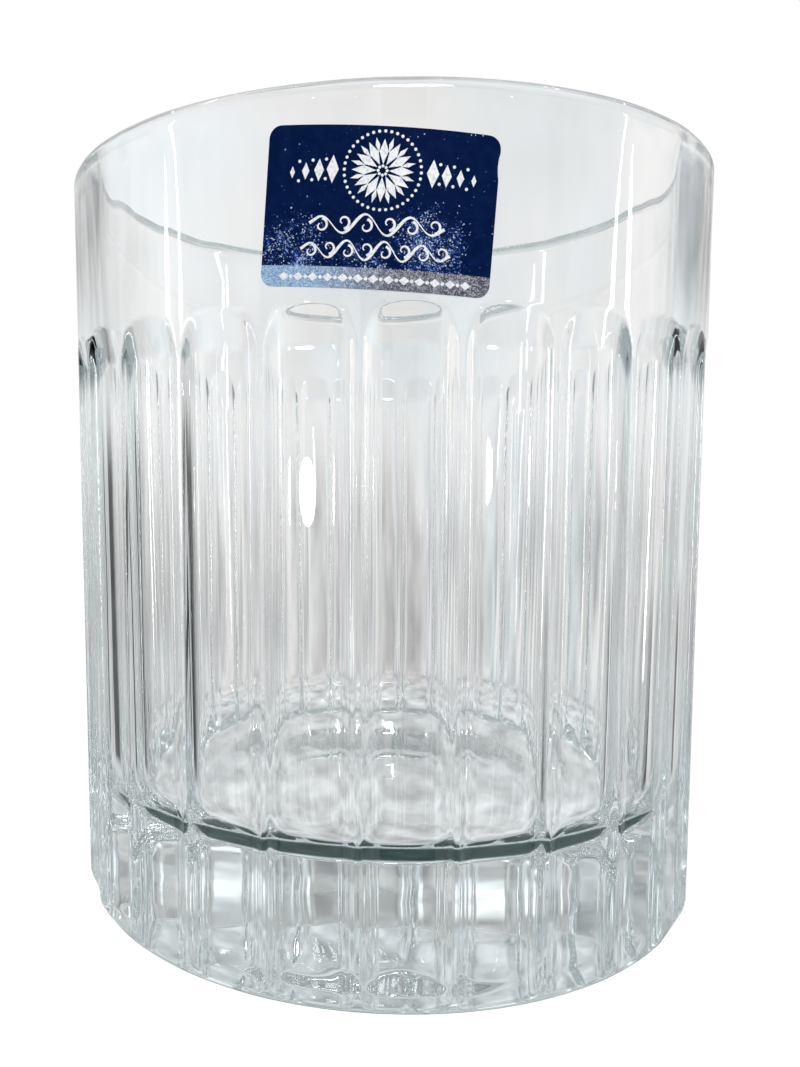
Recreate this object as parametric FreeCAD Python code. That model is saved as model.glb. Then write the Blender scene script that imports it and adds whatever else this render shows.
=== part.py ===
"""Straight-sided whiskey tumbler in pressed crystal, with a foil label near the rim.

The glass stands on its foot at z = 0, with its axis along +Z. Its front, where the
label sits, faces -Y. All sizes are in millimetres.
"""
import FreeCAD, Part
import math
import os

# Overall sizes of the glass.
HEIGHT = 93.0
RIM_DIAMETER = 82.5
BASE_DIAMETER = 80.8
HEEL_RADIUS = 4.0

# Cavity that holds the drink.
RIM_WALL = 3.4
OUTER_LIP_RADIUS = 1.4
INNER_LIP_RADIUS = 0.6
FLOOR_THICKNESS = 14.4
FLOOR_WALL = 4.4
FLOOR_CORNER_RADIUS = 6.0

# Hollow under the foot, which leaves a flat ring to stand on.
PUNT_DIAMETER = 62.0
PUNT_DEPTH = 1.0

# Flutes round the lower body.
FLUTE_COUNT = 26
FLUTE_DEPTH = 1.0
FLUTE_SIDE_RADIUS = 2.6
FLUTE_RAMP_LENGTH = 4.1
RIDGE_WIDTH = 0.6
FIRST_RIDGE_TURN = -3.4

# Foil label on the plain band above the flutes.
LABEL_WIDTH = 22.2
LABEL_HEIGHT = 15.1
LABEL_CORNER_RADIUS = 1.2
LABEL_TOP_MARGIN = 4.9
LABEL_TILT = 4.3
LABEL_TURN = -0.9
LABEL_FLUTE_GAP = 0.1
ADHESIVE_THICKNESS = 0.06
FOIL_THICKNESS = 0.10

# Extra reach of a cutting solid past the surface that it cuts.
OVERCUT = 2.0

RIM_RADIUS = RIM_DIAMETER / 2
BASE_RADIUS = BASE_DIAMETER / 2
TAPER = math.atan((RIM_RADIUS - BASE_RADIUS) / HEIGHT)
CAVITY_RIM_RADIUS = RIM_RADIUS - RIM_WALL


def outer_radius(height):
    """Radius of the plain outer surface at a height."""
    return BASE_RADIUS + height * math.tan(TAPER)


def cavity_floor_radius():
    """Radius where the cavity's wall would meet its floor without a corner radius."""
    return outer_radius(FLOOR_THICKNESS) - FLOOR_WALL


def label_middle_height():
    """Height of the label's middle, set by its margin below the rim."""
    return HEIGHT - LABEL_TOP_MARGIN - LABEL_HEIGHT / 2


def flute_shoulder_height():
    """Height where a flute starts to run out, so that it ends just under the label."""
    tilt = math.radians(abs(LABEL_TILT))
    straight_half_width = LABEL_WIDTH / 2 - LABEL_CORNER_RADIUS
    straight_half_height = LABEL_HEIGHT / 2 - LABEL_CORNER_RADIUS
    drop = straight_half_height * math.cos(tilt) + straight_half_width * math.sin(tilt)
    lowest_point = label_middle_height() - drop - LABEL_CORNER_RADIUS
    return lowest_point - LABEL_FLUTE_GAP - FLUTE_RAMP_LENGTH


def rounded_outline(corners):
    """Edges through (r, z, corner radius) corners, with a tangent arc at each radius.

    The first and last corners stay sharp.
    """
    edges = []
    start = FreeCAD.Vector(corners[0][0], 0, corners[0][1])
    for index in range(1, len(corners)):
        corner = FreeCAD.Vector(corners[index][0], 0, corners[index][1])
        radius = corners[index][2]
        if radius == 0:
            edges.append(Part.LineSegment(start, corner).toShape())
            start = corner
            continue
        following = FreeCAD.Vector(corners[index + 1][0], 0, corners[index + 1][1])
        back = (start - corner).normalize()
        ahead = (following - corner).normalize()
        half_angle = back.getAngle(ahead) / 2
        reach = radius / math.tan(half_angle)
        middle = (back + ahead).normalize() * (radius / math.sin(half_angle) - radius)
        arc_start = corner + back * reach
        arc_end = corner + ahead * reach
        edges.append(Part.LineSegment(start, arc_start).toShape())
        edges.append(Part.Arc(arc_start, corner + middle, arc_end).toShape())
        start = arc_end
    return edges


def plain_glass():
    """The whole glass before its flutes, turned about the axis."""
    corners = [
        (PUNT_DIAMETER / 2, 0, 0),
        (BASE_RADIUS, 0, HEEL_RADIUS),
        (RIM_RADIUS, HEIGHT, OUTER_LIP_RADIUS),
        (CAVITY_RIM_RADIUS, HEIGHT, INNER_LIP_RADIUS),
        (cavity_floor_radius(), FLOOR_THICKNESS, FLOOR_CORNER_RADIUS),
        (0, FLOOR_THICKNESS, 0),
        (0, PUNT_DEPTH, 0),
    ]
    edges = rounded_outline(corners)
    half_punt = PUNT_DIAMETER / 4
    punt_radius = ((PUNT_DIAMETER / 2) ** 2 + PUNT_DEPTH ** 2) / (2 * PUNT_DEPTH)
    punt_middle = PUNT_DEPTH - punt_radius + math.sqrt(punt_radius ** 2 - half_punt ** 2)
    edges.append(Part.Arc(
        FreeCAD.Vector(0, 0, PUNT_DEPTH),
        FreeCAD.Vector(half_punt, 0, punt_middle),
        FreeCAD.Vector(PUNT_DIAMETER / 2, 0, 0),
    ).toShape())
    outline = Part.Face(Part.Wire(edges))
    return outline.revolve(FreeCAD.Vector(0, 0, 0), FreeCAD.Vector(0, 0, 1), 360)


def flute_section():
    """Half widths of a flute's flat and of its whole opening, and the opening's level.

    Levels are measured outwards from the tangent plane at the flute's middle.
    """
    half_opening = math.pi * BASE_RADIUS / FLUTE_COUNT - RIDGE_WIDTH / 2
    edge_level = math.sqrt(BASE_RADIUS ** 2 - half_opening ** 2) - BASE_RADIUS
    rise = FLUTE_DEPTH + edge_level
    side = math.sqrt(FLUTE_SIDE_RADIUS ** 2 - (FLUTE_SIDE_RADIUS - rise) ** 2)
    return half_opening - side, half_opening, edge_level


def flute_cutter():
    """Solid that cuts one flute in the +X side of the glass."""
    half_flat, half_opening, edge_level = flute_section()
    upwards = FreeCAD.Vector(math.sin(TAPER), 0, math.cos(TAPER))
    outwards = FreeCAD.Vector(math.cos(TAPER), 0, -math.sin(TAPER))
    sideways = FreeCAD.Vector(0, 1, 0)
    foot = FreeCAD.Vector(BASE_RADIUS, 0, 0) - upwards * OVERCUT

    def place(across, level):
        return foot + sideways * across + outwards * level

    def side_arc(sign):
        turn = math.asin((half_opening - half_flat) / FLUTE_SIDE_RADIUS) / 2
        across = half_flat + FLUTE_SIDE_RADIUS * math.sin(turn)
        level = FLUTE_SIDE_RADIUS * (1 - math.cos(turn)) - FLUTE_DEPTH
        return place(sign * across, level)

    left_top = place(-half_opening, OVERCUT)
    left_edge = place(-half_opening, edge_level)
    left_flat = place(-half_flat, -FLUTE_DEPTH)
    right_flat = place(half_flat, -FLUTE_DEPTH)
    right_edge = place(half_opening, edge_level)
    right_top = place(half_opening, OVERCUT)
    section = Part.Face(Part.Wire([
        Part.LineSegment(left_top, left_edge).toShape(),
        Part.Arc(left_edge, side_arc(-1), left_flat).toShape(),
        Part.LineSegment(left_flat, right_flat).toShape(),
        Part.Arc(right_flat, side_arc(1), right_edge).toShape(),
        Part.LineSegment(right_edge, right_top).toShape(),
        Part.LineSegment(right_top, left_top).toShape(),
    ]))
    straight_length = OVERCUT + flute_shoulder_height() / math.cos(TAPER)
    straight = section.extrude(upwards * straight_length)
    ramp_section = section.translated(upwards * straight_length)
    ramp_reach = 1 + OVERCUT / FLUTE_DEPTH
    ramp_step = upwards * FLUTE_RAMP_LENGTH + outwards * FLUTE_DEPTH
    ramp = ramp_section.extrude(ramp_step * ramp_reach)
    return straight.fuse(ramp).removeSplitter()


def tumbler_body():
    """The pressed glass: plain body with a flute cut between every two ridges."""
    glass = plain_glass()
    cutter = flute_cutter()
    pitch = 360 / FLUTE_COUNT
    first_flute = FIRST_RIDGE_TURN + pitch / 2 - 90
    axis = FreeCAD.Vector(0, 0, 1)
    centre = FreeCAD.Vector(0, 0, 0)
    for index in range(FLUTE_COUNT):
        glass = glass.cut(cutter.rotated(centre, axis, first_flute + index * pitch))
    return glass.removeSplitter()


def band_layer(inner_gap, thickness):
    """Thin shell that follows the plain outer surface at a gap outside it."""
    slant = 1 / math.cos(TAPER)
    inner = [outer_radius(z) + inner_gap * slant for z in (0, HEIGHT)]
    outer = [outer_radius(z) + (inner_gap + thickness) * slant for z in (0, HEIGHT)]
    return Part.makeCone(outer[0], outer[1], HEIGHT).cut(Part.makeCone(inner[0], inner[1], HEIGHT))


def label_outline():
    """Rounded, tilted prism through the front wall that trims a layer to the label's shape."""
    bow = math.sin(LABEL_WIDTH / 2 / RIM_RADIUS) * RIM_RADIUS * 2
    block = Part.makeBox(
        bow, RIM_RADIUS, LABEL_HEIGHT,
        FreeCAD.Vector(-bow / 2, -RIM_RADIUS - OVERCUT, -LABEL_HEIGHT / 2),
    )
    long_edges = [edge for edge in block.Edges if abs(edge.tangentAt(edge.FirstParameter).y) > 0.99]
    block = block.makeFillet(LABEL_CORNER_RADIUS, long_edges)
    block = block.rotated(FreeCAD.Vector(0, 0, 0), FreeCAD.Vector(0, 1, 0), LABEL_TILT)
    block = block.rotated(FreeCAD.Vector(0, 0, 0), FreeCAD.Vector(0, 0, 1), LABEL_TURN)
    return block.translated(FreeCAD.Vector(0, 0, label_middle_height()))


def label_adhesive():
    """Pressure-sensitive glue between the foil and the glass."""
    return band_layer(0, ADHESIVE_THICKNESS).common(label_outline())


def label_foil():
    """Printed metal foil of the label."""
    return band_layer(ADHESIVE_THICKNESS, FOIL_THICKNESS).common(label_outline())


def main():
    os.makedirs("parts", exist_ok=True)
    pieces = {
        "tumbler_body": tumbler_body(),
        "label_adhesive": label_adhesive(),
        "label_foil": label_foil(),
    }
    for name, shape in pieces.items():
        solids = len(shape.Solids)
        print(name, "solids", solids, "valid", shape.isValid(), "volume mm3", round(shape.Volume, 2))
        shape.Solids[0].exportStep("parts/" + name + ".step")


main()
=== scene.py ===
"""Fluted crystal whiskey tumbler with a blue foil label, on a pale studio floor.

The glass stands at the origin with its axis along +Z, and its label faces -Y. Metres.
"""
import math

import bpy
from mathutils import Matrix, Vector


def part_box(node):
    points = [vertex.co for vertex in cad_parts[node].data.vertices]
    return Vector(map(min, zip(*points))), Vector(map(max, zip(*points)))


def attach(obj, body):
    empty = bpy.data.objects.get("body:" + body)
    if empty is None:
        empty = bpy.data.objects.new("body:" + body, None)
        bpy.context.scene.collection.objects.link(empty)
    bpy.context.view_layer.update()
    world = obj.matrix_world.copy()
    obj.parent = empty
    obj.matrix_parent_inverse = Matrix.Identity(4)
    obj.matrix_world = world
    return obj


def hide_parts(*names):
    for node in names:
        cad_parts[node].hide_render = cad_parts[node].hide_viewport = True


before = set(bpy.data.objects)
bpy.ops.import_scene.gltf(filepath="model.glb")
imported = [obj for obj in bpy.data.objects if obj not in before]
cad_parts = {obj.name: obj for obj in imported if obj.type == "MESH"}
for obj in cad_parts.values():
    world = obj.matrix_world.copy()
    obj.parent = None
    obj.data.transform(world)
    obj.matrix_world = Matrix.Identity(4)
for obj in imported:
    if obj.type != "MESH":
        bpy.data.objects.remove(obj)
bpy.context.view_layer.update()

MM = 0.001

# The glass: its height from the frame, then the rest of its section.
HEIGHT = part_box("tumbler_body")[1].z
RIM_RADIUS = 41.25 * MM
BASE_RADIUS = 40.4 * MM
HEEL_RADIUS = 4.0 * MM
RIM_WALL = 3.4 * MM
OUTER_LIP_RADIUS = 1.4 * MM
INNER_LIP_RADIUS = 0.6 * MM
FLOOR_THICKNESS = 14.4 * MM
FLOOR_WALL = 4.4 * MM
FLOOR_CORNER_RADIUS = 6.0 * MM
PUNT_RADIUS = 31.0 * MM
PUNT_DEPTH = 1.0 * MM
SIDE_SLOPE = (RIM_RADIUS - BASE_RADIUS) / HEIGHT

# The flutes.
FLUTE_COUNT = 26
FLUTE_DEPTH = 1.0 * MM
FLUTE_SIDE_RADIUS = 2.6 * MM
FLUTE_RAMP_LENGTH = 4.1 * MM
RIDGE_WIDTH = 0.6 * MM
FIRST_RIDGE_TURN = math.radians(-3.4)
POINTS_PER_FLUTE = 24
FIRE_POLISH = 0.12 * MM
RAMP_SOFTNESS = 1.2 * MM
WAVINESS = 0.16 * MM

# The label.
LABEL_WIDTH = 22.2 * MM
LABEL_HEIGHT = 15.1 * MM
LABEL_CORNER_RADIUS = 1.2 * MM
LABEL_TILT = math.radians(4.3)
LABEL_TURN = math.radians(-0.9)
GLUE_THICKNESS = 0.06 * MM
GLUE_CLEARANCE = 0.01 * MM
FOIL_THICKNESS = 0.10 * MM
FOIL_INSET = 0.03 * MM
FOIL_TOP = GLUE_THICKNESS + FOIL_THICKNESS
STAMP_LOW = FOIL_TOP - 0.02 * MM
STAMP_HIGH = FOIL_TOP + 0.02 * MM
NICK_HEIGHT = 4.8 * MM
NICK_LENGTH = 2.2 * MM
NICK_DEPTH = 0.16 * MM
SILVER_BAND_HEIGHT = 2.0 * MM
LABEL_LOW, LABEL_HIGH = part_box("label_foil")
LABEL_MIDDLE_HEIGHT = (LABEL_LOW.z + LABEL_HIGH.z) / 2
LABEL_FLUTE_GAP = 0.1 * MM
FLUTE_TOP = LABEL_LOW.z - LABEL_FLUTE_GAP
FLUTE_SHOULDER = FLUTE_TOP - FLUTE_RAMP_LENGTH

# What is on the label, in millimetres across and up from its middle: glitter patches,
# whose flakes carry painted glints, as (across, up, reach), and running scrolls as
# (left, right, middle, height, waves, weight).
GLITTER_GLINT_PATCHES = ((-8.0, -4.6, 5.0), (4.8, -3.6, 5.0), (-1.0, -5.2, 3.0))
STAR_MIDDLE = (0.1, 3.45)
STAR_RAYS = 12
SIDE_LOZENGE_LENGTHS = (2.6, 2.1, 1.6, 1.1)
SIDE_LOZENGE_STEP = 1.3
BAND_MIDDLE = (SILVER_BAND_HEIGHT - LABEL_HEIGHT) / 2 / MM
BAND_STEP = 1.45
BAND_LOZENGES_EACH_SIDE = 6
SCROLLS = ((-6.5, 6.3, -1.55, 1.9, 3, 0.15), (-7.2, 7.0, -3.95, 1.8, 4, 0.14))

# The studio: dark flags and bright windows as (turn, half width, lowest, highest) in
# degrees, turned from straight behind the glass towards the right, and lamps as
# (middle, size, strength) in metres.
DARK_FLAGS = ((-75, 14.5, -22, 0), (77, 8, -40, -9), (180, 12, -40, 14))
BRIGHT_WINDOWS = ((-10, 3, 18, 26), (18, 3, 18, 26))
LAMPS = (
    ((-0.22, -0.49, 0.035), (0.010, 0.044), 60.0),
    ((0.34, -0.42, 0.048), (0.008, 0.044), 60.0),
    ((-0.10, -0.55, 0.10), (0.016, 0.010), 60.0),
    ((-0.46, -0.12, 0.07), (0.020, 0.30), 14.0),
    ((0.46, -0.06, 0.07), (0.020, 0.30), 14.0),
    ((0.10, -0.60, 0.50), (0.30, 0.20), 11.0),
)

# The camera: lens and sensor in millimetres, sideways shift as a share of the picture's
# long side, turn and tip in radians, and its place.
CAMERA_LENS = 31.985
CAMERA_SENSOR = 36.0
CAMERA_SHIFT = 0.08435
CAMERA_YAW = 0.078
CAMERA_PITCH = -0.0645
CAMERA_PLACE = (0, -3.207 * RIM_RADIUS, 1.353 * RIM_RADIUS)


# ---------------------------------------------------------------- node helpers

class Term:
    """A number in a node tree, so that a formula reads as plain arithmetic."""

    def __init__(self, tree, socket):
        self.tree = tree
        self.socket = socket

    def apply(self, operation, *others):
        """Term that a math node makes of this one and the others."""
        node = self.tree.nodes.new("ShaderNodeMath")
        node.operation = operation
        for slot, value in zip(node.inputs, (self, *others)):
            feed(self.tree, value, slot)
        return Term(self.tree, node.outputs[0])

    def __add__(self, other):
        return self.apply("ADD", other)

    def __rsub__(self, other):
        return self.apply("MULTIPLY", -1.0) + other

    def __sub__(self, other):
        return self.apply("SUBTRACT", other)

    def __mul__(self, other):
        return self.apply("MULTIPLY", other)

    def __truediv__(self, other):
        return self.apply("DIVIDE", other)

    __radd__ = __add__
    __rmul__ = __mul__


def feed(tree, value, slot):
    """Links a term or socket to an input, or sets the input to a plain value."""
    if isinstance(value, Term):
        tree.links.new(value.socket, slot)
    elif isinstance(value, bpy.types.NodeSocket):
        tree.links.new(value, slot)
    else:
        slot.default_value = value


def add_node(tree, kind, settings=None, **inputs):
    """New node with its settings and, by name, its inputs."""
    node = tree.nodes.new(kind)
    for name, value in (settings or {}).items():
        setattr(node, name, value)
    for name, value in inputs.items():
        feed(tree, value, node.inputs[name.replace("_", " ")])
    return node


# ------------------------------------------------------------ the glass outline

def rounded_outline(corners, arc_steps):
    """Points through (radius, height, corner radius) corners, with tangent arcs."""
    points = [Vector(corners[0][:2])]
    for index in range(1, len(corners)):
        corner = Vector(corners[index][:2])
        radius = corners[index][2]
        if radius == 0:
            points.append(corner)
            continue
        back = (points[-1] - corner).normalized()
        ahead = (Vector(corners[index + 1][:2]) - corner).normalized()
        half_angle = back.angle(ahead) / 2
        reach = radius / math.tan(half_angle)
        centre = corner + (back + ahead).normalized() * radius / math.sin(half_angle)
        first = corner + back * reach - centre
        last = corner + ahead * reach - centre
        turn = first.angle_signed(last)
        for step in range(arc_steps + 1):
            share = step / arc_steps
            points.append(centre + Matrix.Rotation(-turn * share, 2) @ first)
    return points


def side_radius(height):
    """Radius of the plain outer surface at a height."""
    return BASE_RADIUS + SIDE_SLOPE * height


def side_rows():
    """Heights of the extra rows down the outer side, close together at the flute tops."""
    rows = [HEIGHT - 6 * MM, HEIGHT - 12 * MM, FLUTE_TOP + 2 * MM]
    step = 0.2 * MM
    height = FLUTE_TOP + 1 * MM
    while height > FLUTE_SHOULDER - 0.8 * MM:
        rows.append(height)
        height -= step
    rows += [FLUTE_SHOULDER - 2 * MM, FLUTE_SHOULDER - 6 * MM]
    rows += [FLUTE_SHOULDER * share for share in (0.75, 0.5, 0.25)]
    return rows


def glass_outline():
    """Points (radius, height) from the middle of the cavity's floor to the punt's middle.

    Also gives the index range of the points on the outer side and heel.
    """
    floor_radius = side_radius(FLOOR_THICKNESS) - FLOOR_WALL
    rim_inside = Vector((RIM_RADIUS - RIM_WALL, HEIGHT))
    wall_foot = Vector((floor_radius, FLOOR_THICKNESS))
    flat_radius = floor_radius - FLOOR_CORNER_RADIUS * 1.1
    inside = [Vector((flat_radius * step / 16, FLOOR_THICKNESS)) for step in range(16)]
    inside += rounded_outline([
        (flat_radius, FLOOR_THICKNESS, 0),
        (wall_foot.x, wall_foot.y, FLOOR_CORNER_RADIUS),
        (*wall_foot.lerp(rim_inside, 0.1), 0),
    ], 10)
    inside += [wall_foot.lerp(rim_inside, step / 20) for step in range(3, 19)]
    inside += rounded_outline([
        (*wall_foot.lerp(rim_inside, 0.95), 0),
        (rim_inside.x, rim_inside.y, INNER_LIP_RADIUS),
        (RIM_RADIUS, HEIGHT, OUTER_LIP_RADIUS),
        (side_radius(HEIGHT - 5 * MM), HEIGHT - 5 * MM, 0),
    ], 8)
    outside = [Vector((side_radius(z), z)) for z in side_rows()]
    under = rounded_outline([
        (side_radius(12 * MM), 12 * MM, 0),
        (BASE_RADIUS, 0, HEEL_RADIUS),
        (PUNT_RADIUS, 0, 0),
    ], 14)
    punt = []
    for share in (step / 16 for step in range(15, -1, -1)):
        punt.append(Vector((PUNT_RADIUS * share, PUNT_DEPTH * (1 - share ** 2))))
    points = inside + outside + under + punt
    first_outer = len(inside) - 1
    last_outer = len(inside) + len(outside) + len(under) - 2
    return points, first_outer, last_outer


# ------------------------------------------------------- the glass, by its rule

def fluted_glass_tree():
    """Geometry tree that turns an outline round the axis and presses flutes into it."""
    tree = bpy.data.node_groups.new("Pressed fluted glass", "GeometryNodeTree")
    sockets = tree.interface
    sockets.new_socket("Outline", in_out="INPUT", socket_type="NodeSocketGeometry")
    sizes = [
        ("Flute Count", "NodeSocketInt", FLUTE_COUNT),
        ("Points Per Flute", "NodeSocketInt", POINTS_PER_FLUTE),
        ("Flute Depth", "NodeSocketFloat", FLUTE_DEPTH),
        ("Flute Side Radius", "NodeSocketFloat", FLUTE_SIDE_RADIUS),
        ("Half Flat", "NodeSocketFloat", half_flat()),
        ("Shoulder Height", "NodeSocketFloat", FLUTE_SHOULDER),
        ("Ramp Length", "NodeSocketFloat", FLUTE_RAMP_LENGTH),
        ("Fire Polish", "NodeSocketFloat", FIRE_POLISH),
        ("First Ridge Turn", "NodeSocketFloat", FIRST_RIDGE_TURN - math.pi / 2),
        ("Base Radius", "NodeSocketFloat", BASE_RADIUS),
        ("Side Slope", "NodeSocketFloat", SIDE_SLOPE),
        ("Crowding", "NodeSocketFloat", 0.75),
        ("Waviness", "NodeSocketFloat", WAVINESS),
        ("Material", "NodeSocketMaterial", None),
    ]
    for name, kind, value in sizes:
        socket = sockets.new_socket(name, in_out="INPUT", socket_type=kind)
        if value is not None:
            socket.default_value = value
    sockets.new_socket("Glass", in_out="OUTPUT", socket_type="NodeSocketGeometry")
    given = tree.nodes.new("NodeGroupInput").outputs

    def size(name):
        return Term(tree, given[name])

    def attribute(name):
        node = add_node(tree, "GeometryNodeInputNamedAttribute", Name=name)
        return Term(tree, node.outputs["Attribute"])

    ring = add_node(
        tree, "GeometryNodeCurvePrimitiveCircle",
        Resolution=size("Flute Count") * size("Points Per Flute"),
    )
    index = tree.nodes.new("GeometryNodeInputIndex")
    numbered = add_node(
        tree, "GeometryNodeStoreNamedAttribute", {"data_type": "FLOAT", "domain": "POINT"},
        Geometry=ring.outputs["Curve"], Name="ring_step", Value=index.outputs[0],
    )
    outline = add_node(tree, "GeometryNodeMeshToCurve", Mesh=given["Outline"])
    swept = add_node(
        tree, "GeometryNodeCurveToMesh",
        Curve=numbered.outputs[0], Profile_Curve=outline.outputs[0],
    )

    radius = attribute("outline_radius")
    height = attribute("outline_height")
    outer = attribute("outer_side")
    pitches = attribute("ring_step") / size("Points Per Flute")
    share = pitches.apply("FRACT")
    whole = pitches - share
    full_turn = 2 * math.pi
    bunched = share - size("Crowding") * (share * full_turn).apply("SINE") / full_turn
    turn = (whole + bunched) * full_turn / size("Flute Count") + size("First Ridge Turn")

    plain = size("Base Radius") + size("Side Slope") * height
    cut = flute_cut(size, plain, height, bunched)
    pressed = radius.apply("SMOOTH_MIN", plain - cut, size("Fire Polish") * 0.2)
    wave, dimple = uneven_inside(tree, size, radius, height, turn, outer)
    final_radius = radius + (pressed - radius) * outer + wave
    final_height = height + dimple

    place = add_node(
        tree, "ShaderNodeCombineXYZ",
        X=final_radius * turn.apply("COSINE"), Y=final_radius * turn.apply("SINE"),
        Z=final_height,
    )
    shaped = add_node(
        tree, "GeometryNodeSetPosition",
        Geometry=swept.outputs[0], Position=place.outputs[0],
    )
    closed = add_node(
        tree, "GeometryNodeMergeByDistance", Geometry=shaped.outputs[0], Distance=0.001 * MM,
    )
    smooth = add_node(tree, "GeometryNodeSetShadeSmooth", Geometry=closed.outputs[0])
    solid = add_node(tree, "GeometryNodeRealizeInstances", Geometry=smooth.outputs[0])
    made = add_node(
        tree, "GeometryNodeSetMaterial", Geometry=solid.outputs[0], Material=given["Material"],
    )
    result = tree.nodes.new("NodeGroupOutput")
    tree.links.new(made.outputs[0], result.inputs[0])
    return tree


def flute_cut(size, plain, height, bunched):
    """Depth of the flutes at a height, and at a share of the way from ridge to ridge."""
    across = ((bunched - 0.5) * (2 * math.pi) / size("Flute Count") * plain).apply("ABSOLUTE")
    beyond = (across - size("Half Flat")).apply("MAXIMUM", 0.0)
    beyond = beyond.apply("MINIMUM", size("Flute Side Radius"))
    side_square = size("Flute Side Radius").apply("POWER", 2.0) - beyond.apply("POWER", 2.0)
    side_rise = size("Flute Side Radius") - side_square.apply("MAXIMUM", 0.0).apply("SQRT")
    bow = across * across / (plain * 2.0)
    above = (height - size("Shoulder Height")).apply("SMOOTH_MAX", 0.0, RAMP_SOFTNESS)
    ramp = above * size("Flute Depth") / size("Ramp Length")
    cut = size("Flute Depth") - side_rise - bow - ramp
    return cut.apply("SMOOTH_MAX", 0.0, size("Fire Polish"))


def uneven_inside(tree, size, radius, height, turn, outer):
    """How far the inner wall swells outwards, and how far the floor dimples upwards."""
    spot = add_node(
        tree, "ShaderNodeCombineXYZ",
        X=turn.apply("COSINE") * 2.4, Y=turn.apply("SINE") * 2.4, Z=height * 16.0,
    )
    swell = add_node(tree, "ShaderNodeTexNoise", Vector=spot.outputs[0], Scale=1.6, Detail=1.5)
    inner = (1.0 - outer) * (radius / size("Base Radius")).apply("POWER", 4.0)
    wave = (Term(tree, swell.outputs[0]) - 0.5) * size("Waviness") * 2.0 * inner
    ground = add_node(
        tree, "ShaderNodeCombineXYZ",
        X=radius * turn.apply("COSINE"), Y=radius * turn.apply("SINE"), Z=height * 3.0,
    )
    pits = add_node(tree, "ShaderNodeTexNoise", Vector=ground.outputs[0], Scale=95.0, Detail=1.0)
    low_down = (1.0 - height / (3.0 * FLOOR_THICKNESS)).apply("MAXIMUM", 0.0) * (1.0 - outer)
    dimple = (Term(tree, pits.outputs[0]) - 0.5) * size("Waviness") * 1.1 * low_down
    return wave, dimple


def half_flat():
    """Half the width of a flute's flat, left between the ridges and the curved sides."""
    half_opening = math.pi * BASE_RADIUS / FLUTE_COUNT - RIDGE_WIDTH / 2
    edge_level = math.sqrt(BASE_RADIUS ** 2 - half_opening ** 2) - BASE_RADIUS
    rise = FLUTE_DEPTH + edge_level
    side = math.sqrt(FLUTE_SIDE_RADIUS ** 2 - (FLUTE_SIDE_RADIUS - rise) ** 2)
    return half_opening - side


def outline_object():
    """The outline as a chain of edges, with its radius, height and side as attributes."""
    points, first_outer, last_outer = glass_outline()
    mesh = bpy.data.meshes.new("glass_outline")
    mesh.from_pydata(
        [(p.x, 0, p.y) for p in points], [(i, i + 1) for i in range(len(points) - 1)], [],
    )
    columns = {
        "outline_radius": [p.x for p in points],
        "outline_height": [p.y for p in points],
        "outer_side": [float(first_outer <= i <= last_outer) for i in range(len(points))],
    }
    for name, values in columns.items():
        mesh.attributes.new(name, "FLOAT", "POINT").data.foreach_set("value", values)
    return add_piece("glass_outline", mesh)


def make_plain_mesh(source, name):
    """Plain mesh object from an object with a live geometry tree; the source goes."""
    graph = bpy.context.evaluated_depsgraph_get()
    mesh = bpy.data.meshes.new_from_object(source.evaluated_get(graph), depsgraph=graph)
    bpy.data.objects.remove(source)
    return add_piece(name, mesh)


def add_piece(name, mesh):
    """New object in the scene that holds a mesh of the same name."""
    mesh.name = name
    made = bpy.data.objects.new(name, mesh)
    bpy.context.scene.collection.objects.link(made)
    return made


def glass_body(material):
    """The pressed glass, as one closed mesh."""
    source = outline_object()
    modifier = source.modifiers.new("Pressed fluted glass", "NODES")
    modifier.node_group = fluted_glass_tree()
    set_inputs(modifier, {"Material": material})
    glass = make_plain_mesh(source, "glass_body")
    for name in ("outline_radius", "outline_height", "outer_side", "ring_step"):
        glass.data.attributes.remove(glass.data.attributes[name])
    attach(glass, "root")
    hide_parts("tumbler_body")
    return glass


# -------------------------------------------------------------------- the label

def wrap_group():
    """Node group that lays flat work (across, up, lift) on the conical band, tilted."""
    tree = bpy.data.node_groups.new("Wrap On Band", "GeometryNodeTree")
    sockets = tree.interface
    sockets.new_socket("Flat", in_out="INPUT", socket_type="NodeSocketGeometry")
    sizes = [
        ("Tilt", LABEL_TILT), ("Turn", LABEL_TURN), ("Middle Height", LABEL_MIDDLE_HEIGHT),
        ("Base Radius", BASE_RADIUS), ("Side Slope", SIDE_SLOPE),
    ]
    for name, value in sizes:
        socket = sockets.new_socket(name, in_out="INPUT", socket_type="NodeSocketFloat")
        socket.default_value = value
    sockets.new_socket("Wrapped", in_out="OUTPUT", socket_type="NodeSocketGeometry")
    given = tree.nodes.new("NodeGroupInput").outputs

    def size(name):
        return Term(tree, given[name])

    place = tree.nodes.new("GeometryNodeInputPosition")
    parts = add_node(tree, "ShaderNodeSeparateXYZ", Vector=place.outputs[0])
    across, up, lift = (Term(tree, parts.outputs[axis]) for axis in "XYZ")
    cosine = size("Tilt").apply("COSINE")
    sine = size("Tilt").apply("SINE")
    height = size("Middle Height") + up * cosine - across * sine
    surface = size("Base Radius") + size("Side Slope") * height
    turn = (across * cosine + up * sine) / surface + size("Turn")
    radius = surface + lift
    wrapped = add_node(
        tree, "ShaderNodeCombineXYZ",
        X=radius * turn.apply("SINE"), Y=radius * turn.apply("COSINE") * -1.0, Z=height,
    )
    moved = add_node(
        tree, "GeometryNodeSetPosition", Geometry=given["Flat"], Position=wrapped.outputs[0],
    )
    result = tree.nodes.new("NodeGroupOutput")
    tree.links.new(moved.outputs[0], result.inputs[0])
    return tree


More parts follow.
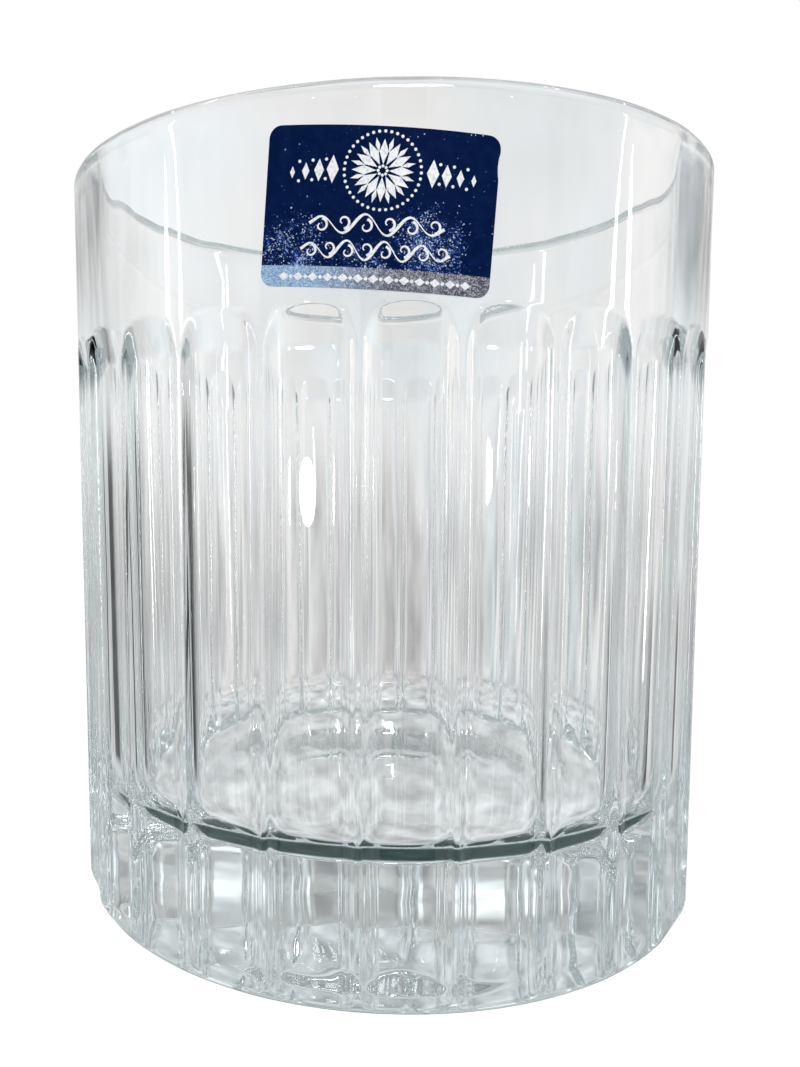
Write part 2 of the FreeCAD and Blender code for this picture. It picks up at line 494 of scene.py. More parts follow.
def finish_label_tree(tree, geometry, given):
    """Ends a label tree: wrap, realize, smooth, material, output."""
    solid = add_node(tree, "GeometryNodeRealizeInstances", Geometry=geometry)
    wrap = add_node(tree, "GeometryNodeGroup", {"node_tree": wrap_group()})
    tree.links.new(solid.outputs[0], wrap.inputs["Flat"])
    made = add_node(
        tree, "GeometryNodeSetMaterial", Geometry=wrap.outputs[0], Material=given["Material"],
    )
    result = tree.nodes.new("NodeGroupOutput")
    tree.links.new(made.outputs[0], result.inputs[0])


def label_sheet_tree():
    """Geometry tree that wraps a flat sheet on the band and gives it its material."""
    tree = bpy.data.node_groups.new("Label sheet", "GeometryNodeTree")
    sockets = tree.interface
    sockets.new_socket("Flat", in_out="INPUT", socket_type="NodeSocketGeometry")
    sockets.new_socket("Material", in_out="INPUT", socket_type="NodeSocketMaterial")
    sockets.new_socket("Sheet", in_out="OUTPUT", socket_type="NodeSocketGeometry")
    given = tree.nodes.new("NodeGroupInput").outputs
    finish_label_tree(tree, given["Flat"], given)
    return tree


def stamped_motifs_tree():
    """Geometry tree that stamps one motif at every point, by its size and turn."""
    tree = bpy.data.node_groups.new("Stamped motifs", "GeometryNodeTree")
    sockets = tree.interface
    sockets.new_socket("Places", in_out="INPUT", socket_type="NodeSocketGeometry")
    sockets.new_socket("Motif", in_out="INPUT", socket_type="NodeSocketObject")
    sockets.new_socket("Material", in_out="INPUT", socket_type="NodeSocketMaterial")
    sockets.new_socket("Stamped", in_out="OUTPUT", socket_type="NodeSocketGeometry")
    given = tree.nodes.new("NodeGroupInput").outputs
    motif = add_node(tree, "GeometryNodeObjectInfo", Object=given["Motif"])
    turn = add_node(tree, "GeometryNodeInputNamedAttribute", Name="motif_turn")
    length = add_node(tree, "GeometryNodeInputNamedAttribute", Name="motif_length")
    width = add_node(tree, "GeometryNodeInputNamedAttribute", Name="motif_width")
    rotation = add_node(tree, "ShaderNodeCombineXYZ", Z=turn.outputs["Attribute"])
    scale = add_node(
        tree, "ShaderNodeCombineXYZ",
        X=width.outputs["Attribute"], Y=length.outputs["Attribute"], Z=1.0,
    )
    stamped = add_node(
        tree, "GeometryNodeInstanceOnPoints",
        Points=given["Places"], Instance=motif.outputs["Geometry"],
        Rotation=rotation.outputs[0], Scale=scale.outputs[0],
    )
    finish_label_tree(tree, stamped.outputs[0], given)
    return tree


def set_inputs(modifier, values):
    """Sets a geometry modifier's inputs, found by their socket names."""
    for item in modifier.node_group.interface.items_tree:
        if item.name in values and item.in_out == "INPUT":
            modifier[item.identifier] = values[item.name]


def sheet_half_width(up, nick):
    """Half width of the label's outline at a height above its middle, and the nick's depth."""
    half_width, half_height = LABEL_WIDTH / 2, LABEL_HEIGHT / 2
    over = max(abs(up) - (half_height - LABEL_CORNER_RADIUS), 0)
    corner = LABEL_CORNER_RADIUS - math.sqrt(max(LABEL_CORNER_RADIUS ** 2 - over ** 2, 0))
    dent = 0
    if nick and abs(up - NICK_HEIGHT) < NICK_LENGTH / 2:
        dent = NICK_DEPTH * math.cos(math.pi * (up - NICK_HEIGHT) / NICK_LENGTH) ** 0.5
    return half_width - corner, dent


def sheet_rows():
    """Heights of the sheet's rows, closer together at the rounded corners."""
    half_height = LABEL_HEIGHT / 2
    corner_steps = 7
    corner = []
    for step in range(corner_steps):
        angle = math.pi / 2 * step / corner_steps
        corner.append(half_height - LABEL_CORNER_RADIUS * (1 - math.cos(angle)))
    straight = half_height - LABEL_CORNER_RADIUS
    half_steps = 22
    middle = [straight * (1 - step / half_steps) for step in range(2 * half_steps + 1)]
    return corner + middle + [-up for up in reversed(corner)]


def flat_sheet(name, low, high, inset=0.0, nick=False):
    """Closed flat sheet in the label's outline, between two lifts, with its own UV map."""
    rows = sheet_rows()
    columns = 60
    mesh = bpy.data.meshes.new(name)
    vertices, faces, map_places = [], [], []
    for lift in (low, high):
        for up in rows:
            half_width, dent = sheet_half_width(up, nick)
            shrink = 1 - inset / (LABEL_HEIGHT / 2)
            for column in range(columns + 1):
                share = column / columns
                left = -half_width + inset
                right = half_width - inset - dent
                vertices.append((left + (right - left) * share, up * shrink, lift))
                map_places.append(vertices[-1][:2])
    stride = columns + 1
    layer = stride * len(rows)
    for row in range(len(rows) - 1):
        for column in range(columns):
            under = row * stride + column
            over = layer + under
            faces.append((under, under + 1, under + 1 + stride, under + stride))
            faces.append((over, over + stride, over + stride + 1, over + 1))
    rim = list(range(stride))
    rim += [row * stride + columns for row in range(1, len(rows))]
    rim += [(len(rows) - 1) * stride + column for column in range(columns - 1, -1, -1)]
    rim += [row * stride for row in range(len(rows) - 2, 0, -1)]
    for index, here in enumerate(rim):
        after = rim[(index + 1) % len(rim)]
        faces.append((here, layer + here, layer + after, after))
    mesh.from_pydata(vertices, [], faces)
    layer_map = mesh.uv_layers.new(name="label_millimetres")
    for loop in mesh.loops:
        across, up = map_places[loop.vertex_index]
        layer_map.data[loop.index].uv = (across / MM, up / MM)
    return add_piece(name, mesh)


def wrapped_piece(flat, tree, values):
    """Plain piece from flat work and a label tree, with its body and finish."""
    name = flat.name
    modifier = flat.modifiers.new(tree.name, "NODES")
    modifier.node_group = tree
    set_inputs(modifier, values)
    flat.name = name + "_flat"
    piece = make_plain_mesh(flat, name)
    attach(piece, "root")
    return piece


def flat_polygon(name, outline, low, high):
    """Closed flat prism of a convex outline given anticlockwise."""
    count = len(outline)
    vertices = [(x, y, low) for x, y in outline] + [(x, y, high) for x, y in outline]
    faces = [tuple(reversed(range(count))), tuple(range(count, 2 * count))]
    for index in range(count):
        after = (index + 1) % count
        faces.append((index, after, count + after, count + index))
    mesh = bpy.data.meshes.new(name)
    mesh.from_pydata(vertices, [], faces)
    return add_piece(name, mesh)


def stamped_motifs(name, motif, places, material):
    """Stamps one motif at (across, up, turn, length, width) places, in millimetres."""
    mesh = bpy.data.meshes.new(name)
    mesh.from_pydata([(across * MM, up * MM, 0) for across, up, *_ in places], [], [])
    for column, key in enumerate(("motif_turn", "motif_length", "motif_width"), start=2):
        values = [place[column] for place in places]
        mesh.attributes.new(key, "FLOAT", "POINT").data.foreach_set("value", values)
    flat = add_piece(name, mesh)
    values = {"Motif": motif, "Material": material}
    return wrapped_piece(flat, stamped_motifs_tree(), values)


def scroll_ribbon(name, runs, material):
    """Stamped scrolls: each run is a line of (across, up, half width) in millimetres."""
    vertices, faces = [], []
    for run in runs:
        start = len(vertices)
        for index, (across, up, half_width) in enumerate(run):
            before = Vector(run[max(index - 1, 0)][:2])
            after = Vector(run[min(index + 1, len(run) - 1)][:2])
            ahead = (after - before).normalized()
            side = Vector((-ahead.y, ahead.x)) * half_width
            for sign, lift in ((1, STAMP_HIGH), (-1, STAMP_HIGH), (-1, STAMP_LOW), (1, STAMP_LOW)):
                vertices.append(((across + sign * side.x) * MM, (up + sign * side.y) * MM, lift))
        for step in range(len(run) - 1):
            base = start + 4 * step
            for edge in range(4):
                other = (edge + 1) % 4
                faces.append((base + edge, base + 4 + edge, base + 4 + other, base + other))
        last = start + 4 * (len(run) - 1)
        faces.append((start, start + 1, start + 2, start + 3))
        faces.append((last + 3, last + 2, last + 1, last))
    mesh = bpy.data.meshes.new(name)
    mesh.from_pydata(vertices, [], faces)
    return wrapped_piece(add_piece(name, mesh), label_sheet_tree(), {"Material": material})


def star_places(middle, count, inner, outer, width, start=0.0):
    """Places of lozenge rays that stand round a middle, from an inner to an outer radius."""
    places = []
    for index in range(count):
        angle = start + 2 * math.pi * index / count
        reach = (inner + outer) / 2
        places.append((
            middle[0] - math.sin(angle) * reach, middle[1] + math.cos(angle) * reach,
            angle, outer - inner, width,
        ))
    return places


def bead_places(middle, count, radius, size):
    """Places of round beads on a ring round a middle."""
    places = []
    for index in range(count):
        angle = 2 * math.pi * index / count
        across = middle[0] + radius * math.sin(angle)
        places.append((across, middle[1] + radius * math.cos(angle), 0.0, size, size))
    return places


def running_scroll(left, right, middle, height, waves, weight):
    """Runs of one flowing wave line with a curl in each of its bends."""
    line = []
    steps = waves * 18
    for step in range(steps + 1):
        share = step / steps
        phase = 2 * math.pi * waves * share
        swell = 0.35 + 0.65 * math.cos(phase / 2) ** 2
        line.append((
            left + (right - left) * share,
            middle + height / 2 * math.sin(phase) * math.sin(math.pi * share) ** 0.3,
            weight * swell,
        ))
    runs = [line]
    pitch = (right - left) / waves
    for bay in range(2 * waves):
        side = 1 if bay % 2 == 0 else -1
        middle_across = left + pitch * (bay / 2 + 0.27)
        curl = []
        for step in range(20):
            share = step / 19
            angle = math.pi * (0.55 + 1.75 * share)
            radius = height * (0.36 - 0.26 * share)
            curl.append((
                middle_across - math.cos(angle) * radius,
                middle - side * (height * 0.1 - math.sin(angle) * radius),
                weight * (0.9 - 0.6 * share),
            ))
        runs.append(curl)
    return runs


def glue_and_foil():
    """The glue on the glass, and the printed foil on the glue."""
    glue = wrapped_piece(
        flat_sheet("label_glue", GLUE_CLEARANCE, GLUE_THICKNESS), label_sheet_tree(),
        {"Material": glue_finish()},
    )
    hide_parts("label_adhesive")
    printed = wrapped_piece(
        flat_sheet("label_printed_foil", GLUE_THICKNESS, FOIL_TOP, FOIL_INSET, nick=True),
        label_sheet_tree(), {"Material": printed_foil()},
    )
    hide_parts("label_foil")


def lozenge_places():
    """The star's rays, the graduated lozenges beside it, and the row on the silver band."""
    across, up = STAR_MIDDLE
    places = star_places(STAR_MIDDLE, STAR_RAYS, 0.6, 2.9, 0.85)
    places += star_places(STAR_MIDDLE, STAR_RAYS, 1.7, 3.1, 0.42, math.pi / STAR_RAYS)
    for sign in (-1, 1):
        for step, length in enumerate(SIDE_LOZENGE_LENGTHS):
            out = 4.7 + SIDE_LOZENGE_STEP * step
            places.append((across + sign * out, up - 0.1 * step, 0.0, length, 0.45 * length))
    for step in range(-BAND_LOZENGES_EACH_SIDE, BAND_LOZENGES_EACH_SIDE + 1):
        places.append((BAND_STEP * step, BAND_MIDDLE, math.pi / 2, 1.0, 0.8))
    return places


def round_bead_places():
    """Beads round the star, on its middle, on the silver band and between the lozenges."""
    across, up = STAR_MIDDLE
    places = bead_places(STAR_MIDDLE, 40, 3.6, 0.3)
    places += bead_places(STAR_MIDDLE, 8, 0.42, 0.28)
    for step in range(-BAND_LOZENGES_EACH_SIDE, BAND_LOZENGES_EACH_SIDE):
        places.append((BAND_STEP * (step + 0.5), BAND_MIDDLE, 0.0, 0.36, 0.36))
    for sign in (-1, 1):
        for step in range(3):
            for side in (-1, 1):
                out = 5.35 + SIDE_LOZENGE_STEP * step
                places.append((across + sign * out, up + 0.9 * side - 0.1 * step, 0.0, 0.3, 0.3))
    return places


def stamped_ornament():
    """The silver lozenges, beads and scrolls stamped on the foil."""
    silver = stamped_silver()
    half = 0.5 * MM
    lozenge = flat_polygon(
        "motif_lozenge", [(0, -half), (half, 0), (0, half), (-half, 0)], STAMP_LOW, STAMP_HIGH,
    )
    turns = [2 * math.pi * step / 12 for step in range(12)]
    bead = flat_polygon(
        "motif_bead", [(half * math.cos(a), half * math.sin(a)) for a in turns],
        STAMP_LOW, STAMP_HIGH,
    )
    stamped_motifs("label_lozenges", lozenge, lozenge_places(), silver)
    stamped_motifs("label_beads", bead, round_bead_places(), silver)
    runs = [run for scroll in SCROLLS for run in running_scroll(*scroll)]
    scroll_ribbon("label_scrolls", runs, silver)
    bpy.data.objects.remove(lozenge)
    bpy.data.objects.remove(bead)


# -------------------------------------------------------------------- materials

def new_material(name):
    """Empty material, with its tree and its output node."""
    material = bpy.data.materials.new(name)
    material.use_nodes = True
    tree = material.node_tree
    tree.nodes.clear()
    output = tree.nodes.new("ShaderNodeOutputMaterial")
    return material, tree, output


def mix_shaders(tree, share, first, second):
    """Node that goes from the first shader to the second as the share goes from 0 to 1."""
    node = tree.nodes.new("ShaderNodeMixShader")
    feed(tree, share, node.inputs[0])
    tree.links.new(first.outputs[0], node.inputs[1])
    tree.links.new(second.outputs[0], node.inputs[2])
    return node


def mirrored_rays(tree):
    """1 for rays that a surface has mirrored on their way, which glass does inside, else 0."""
    path = tree.nodes.new("ShaderNodeLightPath")
    return Term(tree, path.outputs["Glossy Depth"]).apply("MINIMUM", 1.0)


def crystal():
    """Clear crystal: faint grey-green body, fire-polished skin with slight ripples.

    Rays that only bring light to what stands in or behind the glass go straight through.
    """
    material, tree, output = new_material("clear_crystal")
    where = tree.nodes.new("ShaderNodeTexCoord").outputs["Object"]
    ripple = add_node(tree, "ShaderNodeTexNoise", Vector=where, Scale=90.0, Detail=2.0)
    bump = add_node(
        tree, "ShaderNodeBump", Height=ripple.outputs[0], Strength=0.25, Distance=0.05 * MM,
    )
    smear = add_node(tree, "ShaderNodeTexNoise", Vector=where, Scale=55.0, Detail=5.0)
    haze = add_node(
        tree, "ShaderNodeMapRange", Value=smear.outputs[0],
        From_Min=0.45, From_Max=0.8, To_Min=0.0, To_Max=0.04,
    )
    glass = add_node(
        tree, "ShaderNodeBsdfPrincipled", Base_Color=(1.0, 1.0, 1.0, 1.0),
        Roughness=haze.outputs[0], Normal=bump.outputs[0],
    )
    glass.inputs["IOR"].default_value = 1.52
    glass.inputs["Transmission Weight"].default_value = 1.0
    shade = add_node(tree, "ShaderNodeBsdfTransparent", Color=(0.93, 0.95, 0.95, 1.0))
    path = tree.nodes.new("ShaderNodeLightPath").outputs
    lighting = Term(tree, path["Is Shadow Ray"]).apply("MAXIMUM", path["Is Diffuse Ray"])
    skin = mix_shaders(tree, lighting, glass, shade)
    tree.links.new(skin.outputs[0], output.inputs["Surface"])
    tint = add_node(
        tree, "ShaderNodeVolumeAbsorption", Color=(0.58, 0.68, 0.69, 1.0), Density=7.0,
    )
    tree.links.new(tint.outputs[0], output.inputs["Volume"])
    return material


def flake_group():
    """Shader group: glinting flakes in a metal foil, as a mask and a tilted normal."""
    group = bpy.data.node_groups.new("Foil Flakes", "ShaderNodeTree")
    sockets = group.interface
    sockets.new_socket("Place", in_out="INPUT", socket_type="NodeSocketVector")
    for name, value in (("Cell Count", 5.0), ("Share", 0.1), ("Tilt", 0.3)):
        socket = sockets.new_socket(name, in_out="INPUT", socket_type="NodeSocketFloat")
        socket.default_value = value
    sockets.new_socket("Flake", in_out="OUTPUT", socket_type="NodeSocketFloat")
    sockets.new_socket("Tone", in_out="OUTPUT", socket_type="NodeSocketFloat")
    sockets.new_socket("Normal", in_out="OUTPUT", socket_type="NodeSocketVector")
    given = group.nodes.new("NodeGroupInput").outputs
    cells = add_node(
        group, "ShaderNodeTexVoronoi", Vector=given["Place"], Scale=given["Cell Count"],
    )
    parts = add_node(group, "ShaderNodeSeparateXYZ", Vector=cells.outputs["Color"])
    flake = Term(group, parts.outputs["X"]).apply("LESS_THAN", Term(group, given["Share"]))
    bump = add_node(
        group, "ShaderNodeBump", Height=parts.outputs["Y"], Strength=given["Tilt"],
        Distance=0.05 * MM,
    )
    result = group.nodes.new("NodeGroupOutput")
    group.links.new(flake.socket, result.inputs["Flake"])
    group.links.new(parts.outputs["Z"], result.inputs["Tone"])
    group.links.new(bump.outputs[0], result.inputs["Normal"])
    return group


def blend_colours(tree, share, first, second):
    """Colour that goes from the first to the second as the share goes from 0 to 1."""
    node = add_node(tree, "ShaderNodeMix", {"data_type": "RGBA"})
    feed(tree, share, node.inputs[0])
    feed(tree, first, node.inputs[6])
    feed(tree, second, node.inputs[7])
    return node.outputs[2]


def ease(tree, value, low, high, start=0.0, end=1.0):
    """Smooth step of a value from start to end."""
    node = add_node(
        tree, "ShaderNodeMapRange", {"interpolation_type": "SMOOTHSTEP"},
        Value=value, From_Min=low, From_Max=high, To_Min=start, To_Max=end,
    )
    return Term(tree, node.outputs[0])


def glitter_glint_share(tree, patches, across, up):
    """Share of glitter flakes with painted glints: a little all over, more on the patches."""
    glitter_glint = Term(tree, patches.outputs[0]) * 0.012
    for middle_across, middle_up, reach in GLITTER_GLINT_PATCHES:
        across_square = (across - middle_across).apply("POWER", 2.0)
        up_square = (up - middle_up).apply("POWER", 2.0)
        away = (across_square + up_square).apply("SQRT")
        glitter_glint = glitter_glint.apply("MAXIMUM", ease(tree, away, reach, 0.0))
    return glitter_glint


def bare_foil_colour(tree, across, flake, tone):
    """Colour of the unprinted foil, with a painted sheen: bluer and brighter to the left."""
    # Painted sheen: the bare foil turns bluer and brighter towards the left.
    painted_sheen = ease(tree, across, 3.0, -9.0)
    shine = blend_colours(tree, painted_sheen, (0.82, 0.84, 0.90, 1.0), (0.62, 0.85, 1.0, 1.0))
    shade = blend_colours(tree, painted_sheen, (0.02, 0.02, 0.05, 1.0), (0.16, 0.28, 0.55, 1.0))
    grain = blend_colours(tree, tone, shade, shine)
    dark_foil = blend_colours(tree, painted_sheen, (0.08, 0.08, 0.12, 1.0), (0.34, 0.52, 0.88, 1.0))
    return blend_colours(tree, flake * (0.62 + painted_sheen * 0.3), dark_foil, grain)


def printed_foil():
    """Blue lacquer printed over flaked foil, bare along a silver band at the bottom."""
    material, tree, output = new_material("printed_blue_foil")
    place = tree.nodes.new("ShaderNodeUVMap")
    place.uv_map = "label_millimetres"
    parts = add_node(tree, "ShaderNodeSeparateXYZ", Vector=place.outputs[0])
    up = Term(tree, parts.outputs["Y"])
    band_edge = (SILVER_BAND_HEIGHT - LABEL_HEIGHT / 2) / MM
    lacquer = ease(tree, up, band_edge - 0.05, band_edge + 0.05)

    across = Term(tree, parts.outputs["X"])
    patches = add_node(
        tree, "ShaderNodeTexNoise", Vector=place.outputs[0], Scale=0.35, Detail=3.0,
        Roughness=0.65,
    )
    # Glitter flakes crowd on the patches; their colour below holds painted glints.
    glitter_glint = glitter_glint_share(tree, patches, across, up)
    crowd = ease(tree, patches.outputs[0], 0.32, 0.66) * glitter_glint * 0.95
    flakes = add_node(tree, "ShaderNodeGroup", {"node_tree": flake_group()})
    tree.links.new(place.outputs[0], flakes.inputs["Place"])
    flakes.inputs["Cell Count"].default_value = 10.0
    flakes.inputs["Tilt"].default_value = 0.7
    tree.links.new((crowd + (1.0 - lacquer) * 0.75).socket, flakes.inputs["Share"])
    flake = Term(tree, flakes.outputs["Flake"])
    tone = Term(tree, flakes.outputs["Tone"])

    rub = add_node(tree, "ShaderNodeTexNoise", Vector=place.outputs[0], Scale=0.9, Detail=6.0)
    worn = ease(tree, rub.outputs[0], 0.35, 0.75)
    blue = blend_colours(tree, worn, (0.001, 0.009, 0.056, 1.0), (0.003, 0.014, 0.072, 1.0))
    # Glitter flakes: blue in their own colour, with painted glints that make the brightest near
    # white.
    bright = (tone * tone) * tone
    painted_glint = blend_colours(tree, bright, (0.005, 0.05, 0.33, 1.0), (0.75, 0.88, 1.0, 1.0))
    lacquered = blend_colours(tree, flake, blue, painted_glint)
    bare = bare_foil_colour(tree, across, flake, tone)
    colour = blend_colours(tree, lacquer, bare, lacquered)
    shader = add_node(
        tree, "ShaderNodeBsdfPrincipled", Base_Color=colour, Normal=flakes.outputs["Normal"],
    )
    tree.links.new((0.34 - flake * 0.1 + worn * 0.08).socket, shader.inputs["Roughness"])
    tree.links.new((flake * 0.4).socket, shader.inputs["Metallic"])
    shader.inputs["Specular IOR Level"].default_value = 0.02
    tree.links.new(shader.outputs[0], output.inputs["Surface"])
    return material


def stamped_silver():
    """Bright stamped foil, faintly grained, for the ornament."""
    material, tree, output = new_material("stamped_silver")
    where = tree.nodes.new("ShaderNodeTexCoord").outputs["Object"]
    grain = add_node(tree, "ShaderNodeTexNoise", Vector=where, Scale=3200.0, Detail=2.0)
    colour = blend_colours(
        tree, ease(tree, grain.outputs[0], 0.35, 0.65),
        (0.84, 0.85, 0.88, 1.0), (0.98, 0.98, 1.0, 1.0),
    )
    bump = add_node(
        tree, "ShaderNodeBump", Height=grain.outputs[0], Strength=0.3, Distance=0.01 * MM,
    )
    shader = add_node(
        tree, "ShaderNodeBsdfPrincipled", Base_Color=colour, Normal=bump.outputs[0],
        Roughness=ease(tree, grain.outputs[0], 0.3, 0.7, 0.25, 0.42),
    )
    shader.inputs["Metallic"].default_value = 0.1
    tree.links.new(shader.outputs[0], output.inputs["Surface"])
    return material


def glue_finish():
    """Milky pressure-sensitive glue with small trapped bubbles."""
    material, tree, output = new_material("milky_glue")
    where = tree.nodes.new("ShaderNodeTexCoord").outputs["Object"]
    bubbles = add_node(tree, "ShaderNodeTexVoronoi", Vector=where, Scale=900.0)
    trapped = ease(tree, bubbles.outputs["Distance"], 0.0, 0.35)
    colour = blend_colours(tree, trapped, (0.62, 0.65, 0.68, 1.0), (0.86, 0.88, 0.89, 1.0))
    bump = add_node(
        tree, "ShaderNodeBump", Height=trapped, Strength=0.4, Distance=0.02 * MM,
    )
    shader = add_node(
        tree, "ShaderNodeBsdfPrincipled", Base_Color=colour, Normal=bump.outputs[0],
        Roughness=ease(tree, bubbles.outputs["Distance"], 0.0, 0.6, 0.2, 0.5),
    )
    tree.links.new(shader.outputs[0], output.inputs["Surface"])
    return material


# ------------------------------------------------------------------- the studio

def painted_foot_shadow(tree, where, reach):
    """Mask of the painted shadow, a dim arc under the front of the foot, for mirrored rays only.
    """
    parts = add_node(tree, "ShaderNodeSeparateXYZ", Vector=where)
    ring = ease(tree, reach, 22 * MM, 27 * MM) * ease(tree, reach, 38 * MM, 41 * MM, 1.0, 0.0)
    return ring * ease(tree, parts.outputs["Y"], 0.0, -10 * MM) * mirrored_rays(tree)


def pale_floor():
    """Near white to the camera; in the glass, a mottled table near the foot with a painted shadow.
    """
    material, tree, output = new_material("pale_floor")
    paint = add_node(tree, "ShaderNodeBsdfDiffuse", Color=(0.9, 0.9, 0.9, 1.0))
    bright = add_node(tree, "ShaderNodeEmission", Color=(1.0, 1.0, 1.0, 1.0), Strength=1.15)
    seen = mix_shaders(tree, 0.8, paint, bright)

    where = tree.nodes.new("ShaderNodeTexCoord").outputs["Object"]
    reach = add_node(tree, "ShaderNodeVectorMath", {"operation": "LENGTH"})
    tree.links.new(where, reach.inputs[0])
    reach = Term(tree, reach.outputs["Value"])
    # Painted shadow: a dim teal arc of floor under the front of the foot, seen in the glass.
    foot = painted_foot_shadow(tree, where, reach)
    mottle = add_node(tree, "ShaderNodeTexNoise", Vector=where, Scale=120.0, Detail=2.5)
    table = 0.72 + (Term(tree, mottle.outputs[0]) - 0.5) * 1.6
    tone = blend_colours(tree, foot, (0.95, 0.985, 1.0, 1.0), (0.30, 0.72, 0.70, 1.0))
    dim = add_node(
        tree, "ShaderNodeEmission", Color=tone, Strength=table * (1.0 - foot * 0.9),
    )
    clear = tree.nodes.new("ShaderNodeBsdfTransparent")
    near = mix_shaders(tree, ease(tree, reach, 50 * MM, 90 * MM), dim, clear)
    path = tree.nodes.new("ShaderNodeLightPath").outputs
    mixed = mix_shaders(tree, path["Is Camera Ray"], near, seen)
    tree.links.new(mixed.outputs[0], output.inputs["Surface"])
    return material


def studio_floor():
    """Square floor just under the foot."""
    mesh = bpy.data.meshes.new("studio_floor")
    half = 3.0
    corners = [(-half, -half, 0), (half, -half, 0), (half, half, 0), (-half, half, 0)]
    mesh.from_pydata(corners, [], [(0, 1, 2, 3)])
    mesh.materials.append(pale_floor())
    floor = add_piece("studio_floor", mesh)
    floor.location.z = -0.02 * MM


def direction_strip(tree, azimuth, rise, turn, half_width, low, high):
    """Mask of an upright strip of the surroundings, by its direction in degrees."""
    side_blur, end_blur = 1.0, 3.0
    off = (azimuth - turn).apply("ABSOLUTE")
    inside = ease(tree, off, half_width, half_width + side_blur, 1.0, 0.0)
    over = ease(tree, rise, low - end_blur, low + end_blur)
    under = ease(tree, rise, high - end_blur, high + end_blur, 1.0, 0.0)
    return inside * over * under


def room_level(tree, way):
    """Brightness of the room by direction.

    It is lightest straight behind the glass and a little dimmer low down, to the left and
    high up, with cloudy shelves and dark flags. For mirrored rays it is also dimmer and
    more broken above the horizon, with bright windows in it.
    """
    parts = add_node(tree, "ShaderNodeSeparateXYZ", Vector=way)
    right, behind, above = (Term(tree, parts.outputs[axis]) for axis in "XYZ")
    degrees = 180 / math.pi
    azimuth = right.apply("ARCTAN2", behind) * degrees
    rise = above.apply("ARCSINE") * degrees
    mirrored = mirrored_rays(tree)
    ahead = ease(tree, behind, 0.2, 0.6)
    low_down = ease(tree, rise, 3, -5)
    high_up = ease(tree, rise, 4, 10) * mirrored

    level = 0.68 + ease(tree, behind, -0.2, 0.6) * 0.21
    level = level - ahead * low_down * 0.22 - ahead * high_up * 0.27
    level = level - ease(tree, right, -0.2, -0.9) * 0.08 - ease(tree, above, 0.25, 0.8) * 0.15
    cloud = add_node(tree, "ShaderNodeTexNoise", Vector=way, Scale=2.6, Detail=2.5)
    level = level + (Term(tree, cloud.outputs[0]) - 0.5) * 0.6
    shelves = add_node(tree, "ShaderNodeTexNoise", Vector=way, Scale=8.0, Detail=2.5)
    contrast = high_up * 1.1 + low_down * 1.1 + 0.12
    level = level + (Term(tree, shelves.outputs[0]) - 0.5) * contrast
    for strip in DARK_FLAGS:
        level = level * (1.0 - direction_strip(tree, azimuth, rise, *strip) * 0.97)
    for strip in BRIGHT_WINDOWS:
        level = level + direction_strip(tree, azimuth, rise, *strip) * mirrored * 0.7
    return level


def studio_world():
    """White to the camera, and a soft room to all that the glass shows and reflects."""
    world = bpy.data.worlds.new("studio")
    bpy.context.scene.world = world
    world.use_nodes = True
    tree = world.node_tree
    tree.nodes.clear()
    way = tree.nodes.new("ShaderNodeTexCoord").outputs["Generated"]
    level = room_level(tree, way)
    tints = add_node(tree, "ShaderNodeTexNoise", Vector=way, Scale=3.7, Detail=1.0)
    tint = blend_colours(
        tree, ease(tree, tints.outputs[0], 0.4, 0.6),
        (0.925, 0.97, 1.0, 1.0), (0.985, 0.985, 0.975, 1.0),
    )
    room = add_node(tree, "ShaderNodeBackground", Color=tint, Strength=level)
    white = add_node(tree, "ShaderNodeBackground", Color=(1.0, 1.0, 1.0, 1.0), Strength=1.0)
    path = tree.nodes.new("ShaderNodeLightPath").outputs
    mixed = mix_shaders(tree, path["Is Camera Ray"], room, white)
    output = tree.nodes.new("ShaderNodeOutputWorld")
    tree.links.new(mixed.outputs[0], output.inputs["Surface"])


def studio_lamps():
    """Small bright panels in front, which make the upright glints on the flutes."""
    for index, (middle, size, strength) in enumerate(LAMPS):
        lamp_panel("studio_lamp_%d" % index, middle, size, strength)


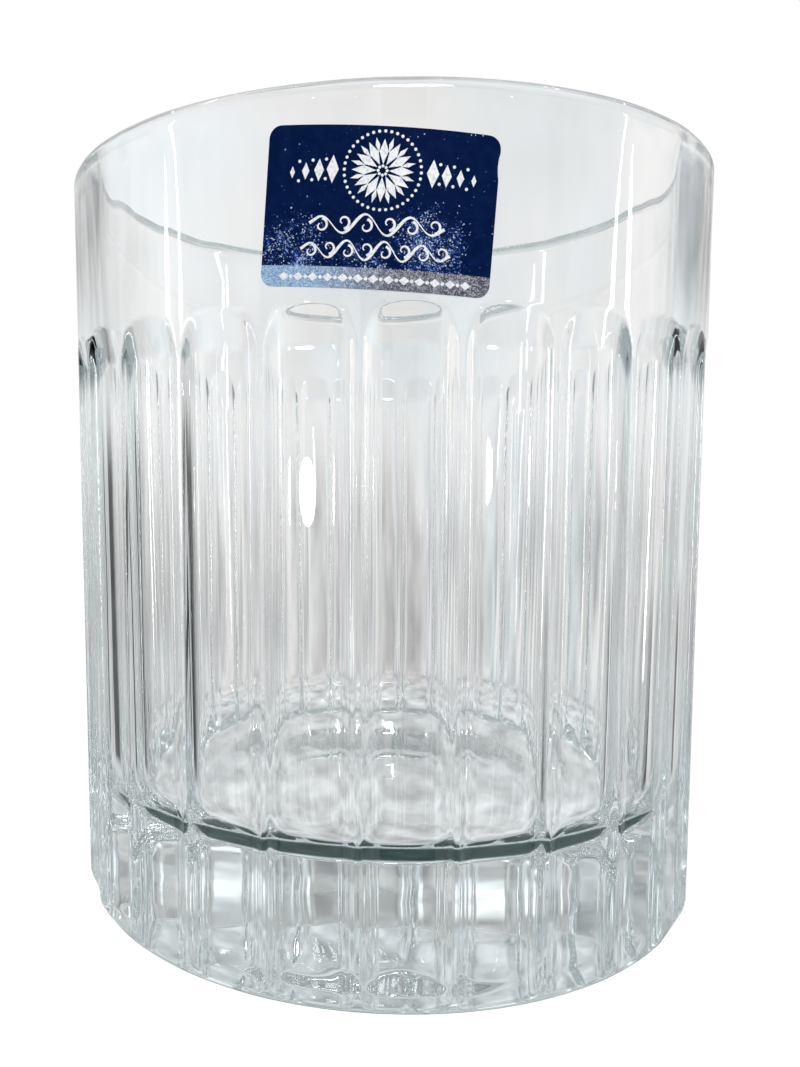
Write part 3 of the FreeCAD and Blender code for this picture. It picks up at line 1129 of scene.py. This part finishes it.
def lamp_panel(name, middle, size, strength):
    """Bright oval panel that faces the middle of the glass, hidden from the camera."""
    material, tree, output = new_material(name)
    glow = add_node(tree, "ShaderNodeEmission", Color=(1.0, 1.0, 1.0, 1.0), Strength=strength)
    tree.links.new(glow.outputs[0], output.inputs["Surface"])
    turns = [2 * math.pi * step / 32 for step in range(32)]
    outline = [(size[0] / 2 * math.cos(a), size[1] / 2 * math.sin(a), 0) for a in turns]
    mesh = bpy.data.meshes.new(name)
    mesh.from_pydata(outline, [], [tuple(range(32))])
    mesh.materials.append(material)
    made = add_piece(name, mesh)
    made.location = middle
    made.rotation_mode = "QUATERNION"
    facing = Vector((0, 0, HEIGHT / 2)) - Vector(middle)
    made.rotation_quaternion = facing.to_track_quat("Z", "Y")
    made.visible_camera = False


def studio_camera():
    """Camera in front of the glass, above its middle and turned slightly to the left."""
    data = bpy.data.cameras.new("studio_camera")
    data.sensor_width = CAMERA_SENSOR
    data.lens = CAMERA_LENS
    data.shift_x = CAMERA_SHIFT
    data.clip_start = 0.005
    data.clip_end = 20.0
    camera = bpy.data.objects.new("studio_camera", data)
    level = math.cos(CAMERA_PITCH)
    ahead = Vector((
        -math.sin(CAMERA_YAW) * level, math.cos(CAMERA_YAW) * level, math.sin(CAMERA_PITCH),
    ))
    camera.location = CAMERA_PLACE
    camera.rotation_mode = "QUATERNION"
    camera.rotation_quaternion = ahead.to_track_quat("-Z", "Y")
    bpy.context.scene.collection.objects.link(camera)
    bpy.context.scene.camera = camera


def finish_look():
    """Plain view transform, and enough bounces for light to cross the glass many times."""
    scene = bpy.context.scene
    scene.view_settings.view_transform = "Standard"
    scene.view_settings.look = "None"
    scene.cycles.caustics_reflective = False
    scene.cycles.caustics_refractive = False
    scene.cycles.max_bounces = 40
    scene.cycles.transmission_bounces = 40
    scene.cycles.glossy_bounces = 40
    scene.cycles.transparent_max_bounces = 24


def main():
    """The glass, its label, and the studio round them."""
    glass_body(crystal())
    glue_and_foil()
    stamped_ornament()
    studio_floor()
    studio_world()
    studio_lamps()
    studio_camera()
    finish_look()


main()
